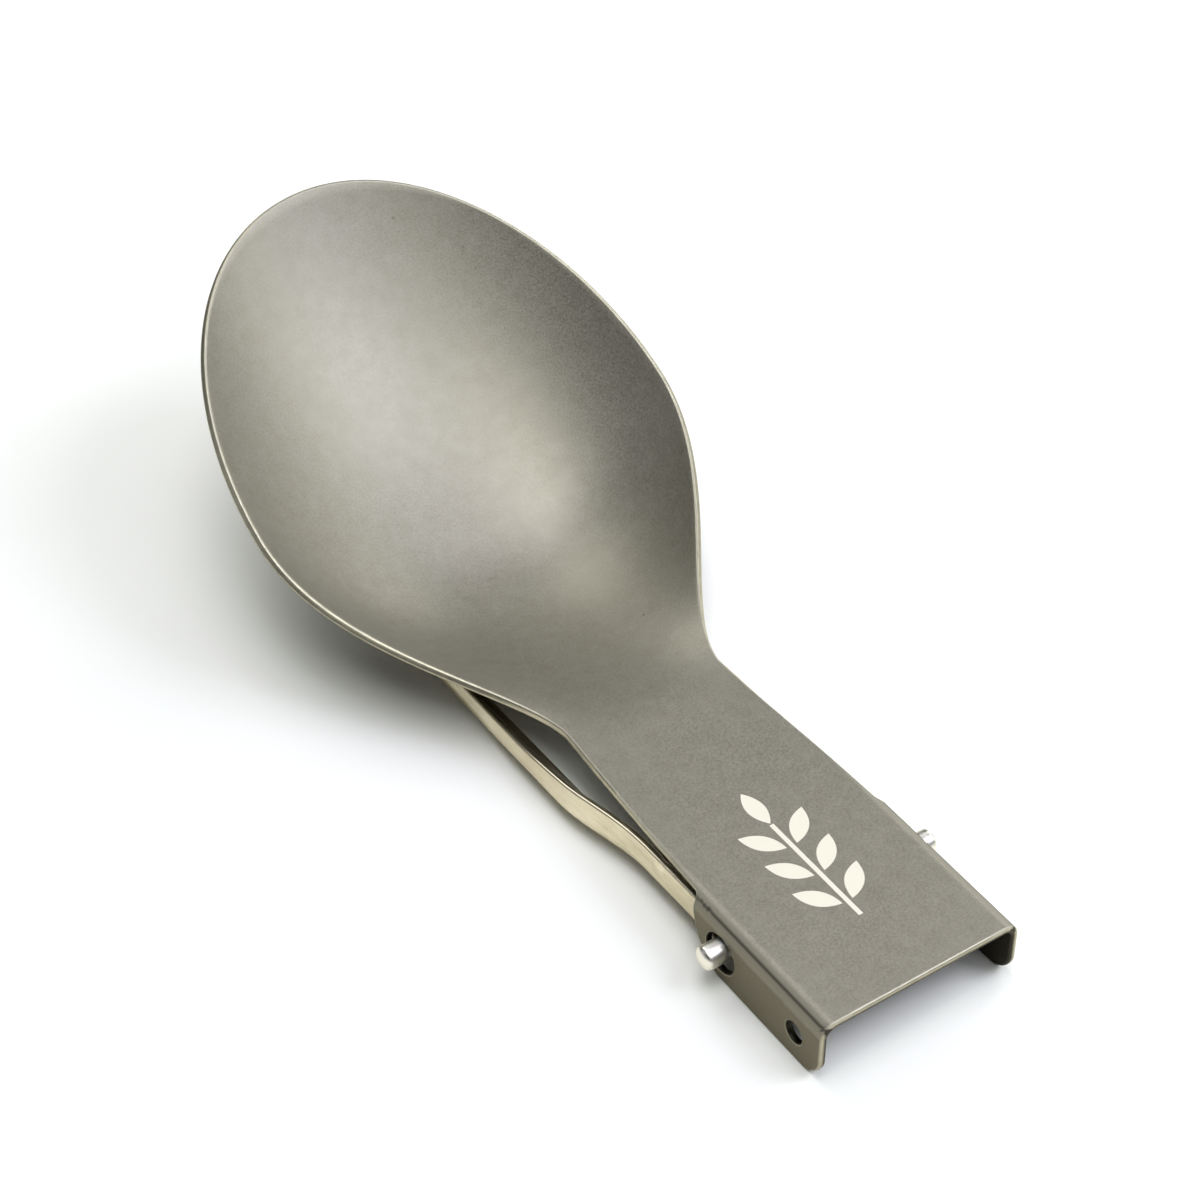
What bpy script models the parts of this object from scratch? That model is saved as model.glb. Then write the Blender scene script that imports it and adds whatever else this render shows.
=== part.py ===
"""Folding spoon: a stamped bowl with a channel shank, a stamped loop handle and a cross pin.

Metres, +Z up. +Y runs along the length towards the bowl's tip, X is across.
The spoon is folded: the handle lies under the bowl and its far end is on the ground.
"""

import math

import bmesh
import bpy
import numpy as np
from mathutils import Matrix

# Sheet metal
SHEET = 0.0007
BEND_RADIUS = 0.0015

# Shank, a channel that is open below; lengths from its square end
SHANK_HALF_WIDTH = 0.010
FLANGE_DEPTH = 0.0063
FLANGE_STRAIGHT = 0.0129
FLANGE_FRONT_RUN = 0.0043
FLANGE_CORNER = 0.0023
FLANGE_FILLET = 0.0007
NECK_POSITION = 0.0380
NECK_HALF_WIDTH = 0.0081
BEND_FADE_RUN = 0.0130

# Bowl
BOWL_HALF_WIDTH = 0.0212
BOWL_WIDEST = 0.0662
BOWL_TIP = 0.0932
BOWL_DEPTH = 0.0108
HOLLOW_START = 0.0350
RIM_RISE_START = 0.0335
RIM_RISE_RUN = 0.0300
RIM_SLOPE_share = 0.482
BOWL_OUTLINE_share = 0.87
BOWL_SECTION_share = 2.4

# Cross pin, pressed into the handle's ears
PIN_POSITION = 0.0132
PIN_DROP = 0.0030
PIN_RADIUS = 0.0011
PIN_DOME = 0.0006
PIN_PROUD = 0.0020
PIN_FIT = 0.0001

# Openings in the flanges
PIN_OPENING_RADIUS = 0.00185
PIN_OPENING_DROP = 0.0034
SNAP_HOLE_RADIUS = 0.0010
SNAP_REACH = 0.00985
SNAP_OFFSET = 0.0005

# Handle, lengths from the pin's axis along the folded handle
HANDLE_LENGTH = 0.0760
HANDLE_HALF_WIDTH = 0.0107
HANDLE_WIDENS = 0.0118
HANDLE_WIDE = 0.0225
HANDLE_END_RUN = 0.0130
HANDLE_BEND = 0.0012
LEDGE_WIDTH = 0.0025
CUTOUT_START = 0.0085
CUTOUT_CORNER = 0.0030
END_LEDGE_WIDTH = 0.0034
PLATE_START = 0.0024
WALL_TOP = 0.0014
WALL_TOP_END = 0.0002
WALL_DROP_START = 0.0108
WALL_DROP_END = 0.0300
WALL_LEAN_share = 0.42
EAR_SLOPE_RUN = 0.0040
DIMPLE_RADIUS = 0.0008
DIMPLE_TOP_RADIUS = 0.0004
DIMPLE_PROUD = 0.00015

# Clearances
SIDE_GAP = 0.0002
PLATE_GAP = 0.0003
OVERRUN = 0.0020

# Steps of the surfaces
FLAT_STEPS = 5
BEND_STEPS = 4
LIP_STEPS = 3
CORNER_STEPS = 5
FRONT_STEPS = 7
FILLET_STEPS = 3
PLATE_STEPS = 7
BOWL_STEPS = 12
TIP_STEPS = 12
OUTLINE_STEPS = 12
ROUND_SIDES = 32
PIN_SIDES = 24
DOME_STEPS = 4
DIMPLE_SIDES = 12
SHARP_ANGLE = math.radians(35)

# Derived sizes
FLAT_HALF_WIDTH = SHANK_HALF_WIDTH - BEND_RADIUS
BEND_LENGTH = BEND_RADIUS * math.pi / 2
PLATE_EDGE = FLAT_HALF_WIDTH + BEND_LENGTH - BEND_RADIUS
FLANGE_FRONT = FLANGE_STRAIGHT + FLANGE_FRONT_RUN
PIN_HALF_LENGTH = SHANK_HALF_WIDTH + PIN_PROUD
HANDLE_NARROW = SHANK_HALF_WIDTH - SHEET - SIDE_GAP
EAR_RADIUS = PIN_DROP - SHEET - PLATE_GAP
HANDLE_BOTTOM = -EAR_RADIUS
REST_REACH = HANDLE_LENGTH - HANDLE_BEND
REST_ANGLE = math.asin((FLANGE_DEPTH - PIN_DROP - EAR_RADIUS) / REST_REACH)


def smoothstep(value):
    """Zero below 0, one above 1, level at both ends."""
    value = np.clip(value, 0.0, 1.0)
    return value * value * (3.0 - 2.0 * value)


def flange_drop(along):
    """How far the flange reaches below the plate: a round corner, an ellipse in front, then a fillet."""
    from_end = np.clip(FLANGE_CORNER - along, 0.0, FLANGE_CORNER)
    corner = FLANGE_CORNER - np.sqrt(FLANGE_CORNER**2 - from_end**2)
    front = np.clip((along - FLANGE_STRAIGHT) / FLANGE_FRONT_RUN, 0.0, 1.0)
    to_plate = np.clip(FLANGE_FRONT + FLANGE_FILLET - along, 0.0, FLANGE_FILLET)
    fillet = FLANGE_FILLET - np.sqrt(FLANGE_FILLET**2 - to_plate**2)
    return np.maximum((FLANGE_DEPTH - corner) * np.sqrt(1.0 - front * front), fillet)


def plan_half_width(along):
    """Half the width of the plate and of the rim, seen from above."""
    to_neck = np.clip((along - FLANGE_FRONT) / (NECK_POSITION - FLANGE_FRONT), 0.0, 1.0)
    plate = PLATE_EDGE + (NECK_HALF_WIDTH - PLATE_EDGE) * to_neck
    to_widest = np.clip((along - NECK_POSITION) / (BOWL_WIDEST - NECK_POSITION), 0.0, 1.0)
    swell = smoothstep(to_widest**BOWL_OUTLINE_share)
    to_tip = np.clip((along - BOWL_WIDEST) / (BOWL_TIP - BOWL_WIDEST), 0.0, 1.0)
    return (plate + (BOWL_HALF_WIDTH - NECK_HALF_WIDTH) * swell) * np.sqrt(1.0 - to_tip * to_tip)


def sheet_half_width(along):
    """Half the flat blank's width, with the flange folded out."""
    return plan_half_width(along) + flange_drop(along)


def rim_height(along):
    """The rim's height: level, a parabola, then a straight rise to the tip."""
    run = np.clip(along - RIM_RISE_START, 0.0, RIM_RISE_RUN)
    beyond = np.clip(along - RIM_RISE_START - RIM_RISE_RUN, 0.0, None)
    return RIM_SLOPE_share * (run * run / (2.0 * RIM_RISE_RUN) + beyond)


def hollow(along, across_share):
    """How deep the bowl lies under its rim at a share of the half width."""
    to_widest = smoothstep((along - HOLLOW_START) / (BOWL_WIDEST - HOLLOW_START))
    to_tip = np.clip((along - BOWL_WIDEST) / (BOWL_TIP - BOWL_WIDEST), 0.0, 1.0)
    radius_squared = to_tip**2 + (1.0 - to_tip**2) * across_share**2
    return BOWL_DEPTH * to_widest * (1.0 - radius_squared ** (BOWL_SECTION_share / 2.0))


def bowl_stations():
    """Places along the length where a cross-section is made, closer where the edge curves."""
    corner_turn = np.linspace(0.0, math.pi / 2, CORNER_STEPS + 1)
    front_turn = np.linspace(0.0, math.pi / 2, FRONT_STEPS + 1)
    fillet_turn = np.linspace(0.0, math.pi / 2, FILLET_STEPS + 1)
    tip_turn = np.linspace(0.0, math.pi / 2, TIP_STEPS + 1)
    return np.concatenate([
        FLANGE_CORNER * (1.0 - np.cos(corner_turn)),
        np.linspace(FLANGE_CORNER, FLANGE_STRAIGHT, CORNER_STEPS)[1:-1],
        FLANGE_STRAIGHT + FLANGE_FRONT_RUN * np.sin(front_turn),
        FLANGE_FRONT + FLANGE_FILLET * (1.0 - np.cos(fillet_turn[1:])),
        np.linspace(FLANGE_FRONT + FLANGE_FILLET, NECK_POSITION, PLATE_STEPS)[1:-1],
        np.linspace(NECK_POSITION, BOWL_WIDEST, BOWL_STEPS)[:-1],
        BOWL_WIDEST + (BOWL_TIP - BOWL_WIDEST) * np.sin(tip_turn),
    ])


def across_places(along):
    """Distances from the middle line along one cross-section, for the flat, the bend and the lip."""
    half = sheet_half_width(along)
    steps = FLAT_STEPS + BEND_STEPS + LIP_STEPS
    even = smoothstep((along - FLANGE_FRONT) / (NECK_POSITION - FLANGE_FRONT))
    flat_end = FLAT_HALF_WIDTH * (1.0 - even) + half * FLAT_STEPS / steps * even
    bend_run = np.minimum(BEND_LENGTH, (half - FLAT_HALF_WIDTH) * BEND_STEPS / (BEND_STEPS + LIP_STEPS))
    bend_end = (FLAT_HALF_WIDTH + bend_run) * (1.0 - even)
    bend_end = bend_end + half * (FLAT_STEPS + BEND_STEPS) / steps * even
    return np.concatenate([
        np.linspace(0.0, flat_end, FLAT_STEPS + 1),
        np.linspace(flat_end, bend_end, BEND_STEPS + 1)[1:],
        np.linspace(bend_end, half, LIP_STEPS + 1)[1:],
    ])


def bowl_section(along):
    """One cross-section's points, from the left edge to the right one, on the sheet's upper face."""
    places = across_places(along)
    turn = np.clip((places - FLAT_HALF_WIDTH) / BEND_RADIUS, 0.0, math.pi / 2)
    below_bend = np.clip(places - FLAT_HALF_WIDTH - BEND_LENGTH, 0.0, None)
    folded_across = np.minimum(places, FLAT_HALF_WIDTH) + BEND_RADIUS * np.sin(turn)
    folded_drop = BEND_RADIUS * (1.0 - np.cos(turn)) + below_bend
    bent = 1.0 - smoothstep((along - FLANGE_FRONT) / BEND_FADE_RUN)
    across = folded_across * bent + places * (1.0 - bent)
    share = across / max(plan_half_width(along), SHEET)
    height = rim_height(along) - folded_drop * bent - hollow(along, np.clip(share, 0.0, 1.0))
    right = np.stack([across, np.full_like(across, along), height], axis=1)
    left = right[:0:-1] * (-1.0, 1.0, 1.0)
    return np.concatenate([left, right])


def make_mesh(name, points, faces):
    """A mesh of triangles from points and faces, turned outwards or all one way."""
    mesh = bpy.data.meshes.new(name)
    mesh.from_pydata([tuple(point) for point in points], [], faces)
    work = bmesh.new()
    work.from_mesh(mesh)
    bmesh.ops.triangulate(work, faces=work.faces)
    bmesh.ops.recalc_face_normals(work, faces=work.faces)
    work.to_mesh(mesh)
    work.free()
    return mesh


def add_object(name, mesh, parent=None, material=None):
    """A named object for a mesh, with its parent and its material."""
    made = bpy.data.objects.new(name, mesh)
    bpy.context.scene.collection.objects.link(made)
    made.parent = parent
    if material:
        mesh.materials.append(material)
        mesh.shade_smooth()
        mesh.set_sharp_from_angle(angle=SHARP_ANGLE)
    return made


def add_cutter(name, mesh, parent):
    """An object that only shapes another one."""
    cutter = add_object(name, mesh, parent)
    cutter.hide_render = True
    cutter.display_type = "WIRE"
    return cutter


def add_boolean(target, cutter, operation="DIFFERENCE"):
    """A live Boolean on the target."""
    cut = target.modifiers.new(cutter.name, "BOOLEAN")
    cut.solver = "EXACT"
    cut.operation = operation
    cut.object = cutter


def make_material(name, colour, metallic, roughness):
    """A plain metal."""
    material = bpy.data.materials.new(name)
    material.use_nodes = True
    shader = material.node_tree.nodes["Principled BSDF"]
    shader.inputs["Base Color"].default_value = (*colour, 1.0)
    shader.inputs["Metallic"].default_value = metallic
    shader.inputs["Roughness"].default_value = roughness
    return material


def cross_rod(name, along, height, radius, half_length, sides, tip_radius=None):
    """A cylinder or a cone whose axis runs along X."""
    work = bmesh.new()
    bmesh.ops.create_cone(
        work,
        cap_ends=True,
        segments=sides,
        radius1=radius,
        radius2=radius if tip_radius is None else tip_radius,
        depth=2.0 * half_length,
        matrix=Matrix.Translation((0.0, along, height)) @ Matrix.Rotation(math.pi / 2, 4, "Y"),
    )
    mesh = bpy.data.meshes.new(name)
    work.to_mesh(mesh)
    work.free()
    return mesh


def make_bowl(parent, material):
    """Bowl and shank from one sheet, with the openings in its flanges."""
    stations = bowl_stations()
    sections = [bowl_section(along) for along in stations[:-1]]
    count = len(sections[0])
    points = np.concatenate(sections + [[(0.0, BOWL_TIP, rim_height(BOWL_TIP))]])
    faces = [
        (row * count + i, row * count + i + 1, (row + 1) * count + i + 1, (row + 1) * count + i)
        for row in range(len(sections) - 1)
        for i in range(count - 1)
    ]
    last = (len(sections) - 1) * count
    faces += [(last + i, last + i + 1, len(points) - 1) for i in range(count - 1)]
    mesh = bpy.data.meshes.new("bowl_with_shank")
    mesh.from_pydata([tuple(point) for point in points], [], faces)
    bowl = add_object("bowl_with_shank", mesh, parent, material)
    wall = bowl.modifiers.new("sheet", "SOLIDIFY")
    wall.thickness = SHEET
    wall.offset = -1.0
    wall.use_even_offset = True
    wall.use_quality_normals = True
    snap_along = PIN_POSITION - SNAP_REACH
    reach = SHANK_HALF_WIDTH + OVERRUN
    holes = (
        ("pin_opening", PIN_POSITION, PIN_OPENING_DROP, PIN_OPENING_RADIUS),
        ("snap_hole", snap_along, PIN_DROP + SNAP_OFFSET, SNAP_HOLE_RADIUS),
    )
    for name, along, drop, radius in holes:
        cutter = add_cutter(name, cross_rod(name, along, -drop, radius, reach, ROUND_SIDES), parent)
        add_boolean(bowl, cutter)
    return bowl


def handle_half_width(along):
    """Half the handle's width: narrow in the shank's channel, wider beyond, an ellipse at its end."""
    widen = smoothstep((along - HANDLE_WIDENS) / (HANDLE_WIDE - HANDLE_WIDENS))
    width = HANDLE_NARROW + (HANDLE_HALF_WIDTH - HANDLE_NARROW) * widen
    end = np.clip((along - HANDLE_LENGTH + HANDLE_END_RUN) / HANDLE_END_RUN, 0.0, 1.0)
    return width * np.sqrt(1.0 - end * end)


def handle_outline(start):
    """The handle's outer edge from above, as a closed loop that starts square behind the ears."""
    end_turn = np.linspace(0.0, math.pi / 2, OUTLINE_STEPS + 1)
    along = np.concatenate([
        [start, HANDLE_WIDENS],
        np.linspace(HANDLE_WIDENS, HANDLE_WIDE, OUTLINE_STEPS)[1:],
        HANDLE_LENGTH - HANDLE_END_RUN + HANDLE_END_RUN * np.sin(end_turn),
    ])
    right = np.stack([handle_half_width(along), along], axis=1)
    left = right[-2::-1] * (-1.0, 1.0)
    return np.concatenate([right, left])


def inset(outline, distance):
    """A closed loop moved inwards by a distance, square to its sides."""
    before = outline - np.roll(outline, 1, axis=0)
    after = np.roll(outline, -1, axis=0) - outline
    before = before / np.linalg.norm(before, axis=1)[:, None]
    after = after / np.linalg.norm(after, axis=1)[:, None]
    normal_before = np.stack([-before[:, 1], before[:, 0]], axis=1)
    normal_after = np.stack([-after[:, 1], after[:, 0]], axis=1)
    middle = normal_before + normal_after
    scale = 1.0 + (normal_before * normal_after).sum(axis=1)
    return outline + distance * middle / scale[:, None]


def stack_mesh(name, rings):
    """A closed solid from flat loops of as many points, given as (loop, height) from below."""
    count = len(rings[0][0])
    points = [(x, y, height) for loop, height in rings for x, y in loop]
    faces = [tuple(reversed(range(count)))]
    for row in range(len(rings) - 1):
        for i in range(count):
            j = (i + 1) % count
            faces.append((row * count + i, row * count + j, (row + 1) * count + j, (row + 1) * count + i))
    faces.append(tuple(range((len(rings) - 1) * count, len(rings) * count)))
    return make_mesh(name, points, faces)


def tray_rings(start, shrink, bottom, bend, top):
    """Loops of a tray with a rounded lower edge, drawn in by a distance, whose wide part leans inwards."""
    outline = inset(handle_outline(start), shrink) if shrink else handle_outline(start)
    turns = np.linspace(0.0, math.pi / 2, BEND_STEPS + 1)
    rings = [
        (inset(outline, bend * (1.0 - math.sin(turn))), bottom + bend * (1.0 - math.cos(turn)))
        for turn in turns
    ]
    widen = smoothstep((outline[:, 1:] - HANDLE_WIDENS) / (HANDLE_WIDE - HANDLE_WIDENS))
    lean = WALL_LEAN_share * widen * (top - bottom - bend)
    return rings + [(inset(outline, lean), top)]


def side_profile():
    """The handle seen from the side: the ear round the pin, then the wall's top to the far end."""
    ear_turn = np.linspace(-math.pi / 2, -1.5 * math.pi, OUTLINE_STEPS + 1)
    ear = [(EAR_RADIUS * math.cos(turn), EAR_RADIUS * math.sin(turn)) for turn in ear_turn]
    drop = np.linspace(0.0, 1.0, OUTLINE_STEPS + 1)
    along = WALL_DROP_START + (WALL_DROP_END - WALL_DROP_START) * drop
    top = WALL_TOP + (WALL_TOP_END - WALL_TOP) * smoothstep(drop)
    slope = smoothstep(drop[1:])
    ear_end = [
        (EAR_SLOPE_RUN * place, EAR_RADIUS + (WALL_TOP - EAR_RADIUS) * height)
        for place, height in zip(drop[1:], slope)
    ]
    far = HANDLE_LENGTH + OVERRUN
    low = HANDLE_BOTTOM - OVERRUN
    rest = [(far, WALL_TOP_END), (far, low), (HANDLE_BEND, low), (HANDLE_BEND, HANDLE_BOTTOM)]
    return ear + ear_end + list(zip(along, top)) + rest


def side_prism(name, profile, half_width):
    """A profile of (along, height) points carried across from side to side."""
    count = len(profile)
    points = [(side * half_width, y, z) for side in (-1.0, 1.0) for y, z in profile]
    faces = [tuple(range(count)), tuple(range(2 * count - 1, count - 1, -1))]
    faces += [(i, (i + 1) % count, count + (i + 1) % count, count + i) for i in range(count)]
    return make_mesh(name, points, faces)


def cutout_outline():
    """The cut-out's loop: beside the ledges, with round corners near the pin."""
    corner_turn = np.linspace(0.0, math.pi / 2, BEND_STEPS + 1)
    far = HANDLE_LENGTH - END_LEDGE_WIDTH
    end_run = HANDLE_END_RUN - END_LEDGE_WIDTH
    near = CUTOUT_START + CUTOUT_CORNER * (1.0 - np.cos(corner_turn))
    drawn_in = CUTOUT_CORNER * (1.0 - np.sin(corner_turn))
    near_width = handle_half_width(near) - LEDGE_WIDTH - drawn_in
    middle = np.linspace(CUTOUT_START + CUTOUT_CORNER, HANDLE_WIDE, OUTLINE_STEPS)[1:]
    middle_width = handle_half_width(middle) - LEDGE_WIDTH
    end_turn = np.linspace(0.0, math.pi / 2, OUTLINE_STEPS + 1)
    end = far - end_run + end_run * np.sin(end_turn)
    end_width = (HANDLE_HALF_WIDTH - LEDGE_WIDTH) * np.cos(end_turn)
    along = np.concatenate([near, middle, end])
    width = np.concatenate([near_width, middle_width, end_width])
    right = np.stack([width, along], axis=1)
    left = right[-2::-1] * (-1.0, 1.0)
    return np.concatenate([right, left])


def make_handle(parent, material):
    """Loop handle from one sheet: a ledge with a raised wall, two ears, a cut-out and two dimples."""
    above = EAR_RADIUS + OVERRUN
    start = -EAR_RADIUS - OVERRUN
    outer = tray_rings(start, 0.0, HANDLE_BOTTOM, HANDLE_BEND, above)
    handle = add_object("folding_handle", stack_mesh("folding_handle", outer), parent, material)
    inner_bend = HANDLE_BEND - SHEET
    inner_start = start - OVERRUN
    inner = tray_rings(inner_start, SHEET, HANDLE_BOTTOM + SHEET, inner_bend, above + OVERRUN)
    add_boolean(handle, add_cutter("handle_inside", stack_mesh("handle_inside", inner), parent))
    below = HANDLE_BOTTOM - OVERRUN
    cutout = [(cutout_outline(), below), (cutout_outline(), above)]
    add_boolean(handle, add_cutter("handle_cutout", stack_mesh("handle_cutout", cutout), parent))
    relief_width = HANDLE_NARROW - HANDLE_BEND
    relief = [(inner_start, below), (PLATE_START, below), (PLATE_START, above), (inner_start, above)]
    relief_mesh = side_prism("plate_relief", relief, relief_width)
    add_boolean(handle, add_cutter("plate_relief", relief_mesh, parent))
    wide = HANDLE_HALF_WIDTH + OVERRUN
    profile = side_prism("handle_profile", side_profile(), wide)
    add_boolean(handle, add_cutter("handle_profile", profile, parent), "INTERSECT")
    bore = cross_rod("ear_bore", 0.0, 0.0, PIN_RADIUS + PIN_FIT, wide, PIN_SIDES)
    add_boolean(handle, add_cutter("ear_bore", bore, parent))
    for name, side in (("left_dimple", -1.0), ("right_dimple", 1.0)):
        depth = (SHEET + 2.0 * DIMPLE_PROUD) / 2.0
        dimple = cross_rod(name, SNAP_REACH, SNAP_OFFSET, DIMPLE_RADIUS, depth, DIMPLE_SIDES, DIMPLE_TOP_RADIUS)
        dimple.transform(Matrix.Scale(side, 4, (1.0, 0.0, 0.0)))
        if side < 0.0:
            dimple.flip_normals()
        place = side * (HANDLE_NARROW + DIMPLE_PROUD - depth)
        dimple.transform(Matrix.Translation((place, 0.0, 0.0)))
        add_boolean(handle, add_cutter(name, dimple, parent), "UNION")
    return handle


def make_pin(parent, material):
    """Cross pin with domed ends, a profile turned about X."""
    turn = np.linspace(0.0, math.pi / 2, DOME_STEPS + 1)
    along = PIN_HALF_LENGTH - PIN_DOME + PIN_DOME * np.cos(turn)
    radius = PIN_RADIUS * np.sin(turn)
    profile = list(zip(along, radius)) + list(zip(-along[::-1], radius[::-1]))
    angles = [2.0 * math.pi * i / PIN_SIDES for i in range(PIN_SIDES)]
    rings = profile[1:-1]
    points = [(x, r * math.cos(a), r * math.sin(a)) for x, r in rings for a in angles]
    points += [(profile[0][0], 0.0, 0.0), (profile[-1][0], 0.0, 0.0)]
    first, second = len(points) - 2, len(points) - 1
    last = (len(rings) - 1) * PIN_SIDES
    faces = []
    for i in range(PIN_SIDES):
        j = (i + 1) % PIN_SIDES
        faces += [
            (row * PIN_SIDES + i, row * PIN_SIDES + j, (row + 1) * PIN_SIDES + j, (row + 1) * PIN_SIDES + i)
            for row in range(len(rings) - 1)
        ]
        faces += [(first, j, i), (second, last + i, last + j)]
    return add_object("pivot_pin", make_mesh("pivot_pin", points, faces), parent, material)


def seat_on_ground(spoon, pieces):
    """Moves the whole spoon so that the middle of its box's bottom is the origin."""
    bpy.context.view_layer.update()
    graph = bpy.context.evaluated_depsgraph_get()
    corners = []
    for piece in pieces:
        seen = piece.evaluated_get(graph)
        places = np.empty(len(seen.data.vertices) * 3)
        seen.data.vertices.foreach_get("co", places)
        turned = np.array(seen.matrix_world)
        places = places.reshape(-1, 3) @ turned[:3, :3].T + turned[:3, 3]
        corners += [places.min(axis=0), places.max(axis=0)]
    low = np.min(corners, axis=0)
    high = np.max(corners, axis=0)
    spoon.location = (0.0, -(low[1] + high[1]) / 2.0, -low[2])


def main():
    """Makes the three pieces, folded."""
    for old in list(bpy.data.objects):
        bpy.data.objects.remove(old)
    blasted = make_material("blasted_titanium", (0.29, 0.28, 0.24), 0.6, 0.55)
    polished = make_material("polished_titanium", (0.68, 0.63, 0.50), 1.0, 0.22)
    steel = make_material("polished_steel", (0.80, 0.80, 0.78), 1.0, 0.12)
    spoon = bpy.data.objects.new("spoon", None)
    bpy.context.scene.collection.objects.link(spoon)
    hinge = bpy.data.objects.new("handle_hinge", None)
    bpy.context.scene.collection.objects.link(hinge)
    hinge.parent = spoon
    hinge.location = (0.0, PIN_POSITION, -PIN_DROP)
    hinge.rotation_euler = (-REST_ANGLE, 0.0, 0.0)
    pieces = [make_bowl(spoon, blasted), make_handle(hinge, polished), make_pin(hinge, steel)]
    seat_on_ground(spoon, pieces)


main()
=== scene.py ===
"""Looks of a folding spoon: a bead-blasted bowl on a channel shank, a loop handle and a cross pin.

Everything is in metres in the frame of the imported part: +Z up, +Y towards the bowl's tip, X across.
Each pressed piece starts as a flat blank of quads, which a formula folds into its middle surface.
The sheet's thickness and its rounded edges are then put round that surface.
"""

import logging
import math
from dataclasses import dataclass
from enum import Enum
from typing import Callable

import bpy
import numpy as np
from mathutils import Matrix, Vector


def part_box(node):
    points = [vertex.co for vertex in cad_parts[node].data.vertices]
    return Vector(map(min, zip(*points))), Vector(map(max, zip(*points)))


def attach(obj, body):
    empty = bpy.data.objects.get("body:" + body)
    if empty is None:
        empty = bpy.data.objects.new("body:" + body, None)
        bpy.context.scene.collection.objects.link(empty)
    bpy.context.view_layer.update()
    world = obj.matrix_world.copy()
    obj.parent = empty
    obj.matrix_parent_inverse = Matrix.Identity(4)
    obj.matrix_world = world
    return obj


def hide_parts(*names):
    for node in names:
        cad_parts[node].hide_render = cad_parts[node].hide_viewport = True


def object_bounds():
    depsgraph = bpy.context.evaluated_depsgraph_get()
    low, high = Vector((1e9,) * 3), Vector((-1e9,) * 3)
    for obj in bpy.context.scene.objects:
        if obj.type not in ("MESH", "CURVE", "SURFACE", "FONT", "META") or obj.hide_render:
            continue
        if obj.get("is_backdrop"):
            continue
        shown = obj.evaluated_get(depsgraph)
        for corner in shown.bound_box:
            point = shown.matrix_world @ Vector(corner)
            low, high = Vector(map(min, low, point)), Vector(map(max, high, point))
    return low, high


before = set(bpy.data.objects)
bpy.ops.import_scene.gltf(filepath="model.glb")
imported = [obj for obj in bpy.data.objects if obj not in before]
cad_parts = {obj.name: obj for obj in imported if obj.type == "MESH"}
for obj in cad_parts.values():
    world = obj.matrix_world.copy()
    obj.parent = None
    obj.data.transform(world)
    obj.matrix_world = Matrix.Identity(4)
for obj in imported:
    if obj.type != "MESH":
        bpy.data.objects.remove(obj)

Pair = tuple[float, float]
Triple = tuple[float, float, float]
Colour = tuple[float, float, float, float]
Socket = bpy.types.NodeSocket

LOG = logging.getLogger("folding_spoon")
SHORTEST = 1e-12
NOISE_RANGE = (0.3, 0.7)


class Slot(Enum):
    """The record's material slots."""

    BLASTED_TITANIUM = "blasted_titanium"
    POLISHED_TITANIUM = "polished_titanium"
    POLISHED_STEEL = "polished_steel"


class Side(Enum):
    """The two sides of the spoon, as the sign of X."""

    LEFT = -1.0
    RIGHT = 1.0


def between(value: np.ndarray, low: float, high: float) -> np.ndarray:
    """Says how far a value has come from low, 0, to high, 1, and clips what lies past them."""
    return np.clip((value - low) / (high - low), 0.0, 1.0)


def smoothstep(value: np.ndarray) -> np.ndarray:
    """Blends from 0 to 1 as 3v^2 - 2v^3, level at both ends, with v clipped to 0 and 1."""
    value = np.clip(value, 0.0, 1.0)
    return value * value * (3.0 - 2.0 * value)


def quarter_turn(count: int) -> np.ndarray:
    """Lists even angles from 0 to pi / 2."""
    return np.linspace(0.0, math.pi / 2, count)


class Blank:
    """The flat shape that a pressed sheet is cut to, as quads over points with their own coordinates."""

    def __init__(self, width: int) -> None:
        """Starts empty, for points that carry this many coordinates."""
        self.points = np.empty((0, width))
        self.quads = np.empty((0, 4), dtype=int)

    def add_points(self, points: np.ndarray) -> np.ndarray:
        """Adds an array of points.

        Args:
            points: Coordinates in the last axis.

        Returns:
            The points' numbers, in the shape of the other axes.
        """
        start = len(self.points)
        flat = points.reshape(-1, self.points.shape[1])
        self.points = np.concatenate([self.points, flat])
        return np.arange(start, start + len(flat)).reshape(points.shape[:-1])

    def add_grid(self, index: np.ndarray, kept: np.ndarray | None = None) -> None:
        """Adds the quads between neighbours: (i, j), (i + 1, j), (i + 1, j + 1), (i, j + 1).

        Args:
            index: A grid of point numbers.
            kept: Which cells to add, all of them if left out.
        """
        cells = np.stack([index[:-1, :-1], index[1:, :-1], index[1:, 1:], index[:-1, 1:]], axis=-1)
        self.quads = np.concatenate([self.quads, cells.reshape(-1, 4) if kept is None else cells[kept]])

    def add_rings(self, outer: np.ndarray, inner: np.ndarray, steps: int) -> None:
        """Fills the space from a closed loop to a hole's edge: P = outer + (inner - outer) * k / steps.

        Args:
            outer: Numbers of the loop's points, in the turning sense of the quads.
            inner: Coordinates of the hole's edge, one point for each of the loop.
            steps: How many rings of quads.
        """
        start = self.points[outer]
        share = np.linspace(0.0, 1.0, steps + 1)[1:, None, None]
        rings = self.add_points(start + (inner - start) * share)
        index = np.concatenate([outer[None], rings])
        index = np.concatenate([index, index[:, :1]], axis=1)
        self.add_grid(index.T)

    def folded(self, fold: Callable[[np.ndarray], np.ndarray]) -> tuple[np.ndarray, np.ndarray]:
        """Gives the places in space of the points that quads use, and the quads."""
        used, quads = np.unique(self.quads, return_inverse=True)
        return fold(self.points[used]), quads.reshape(-1, 4)


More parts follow.
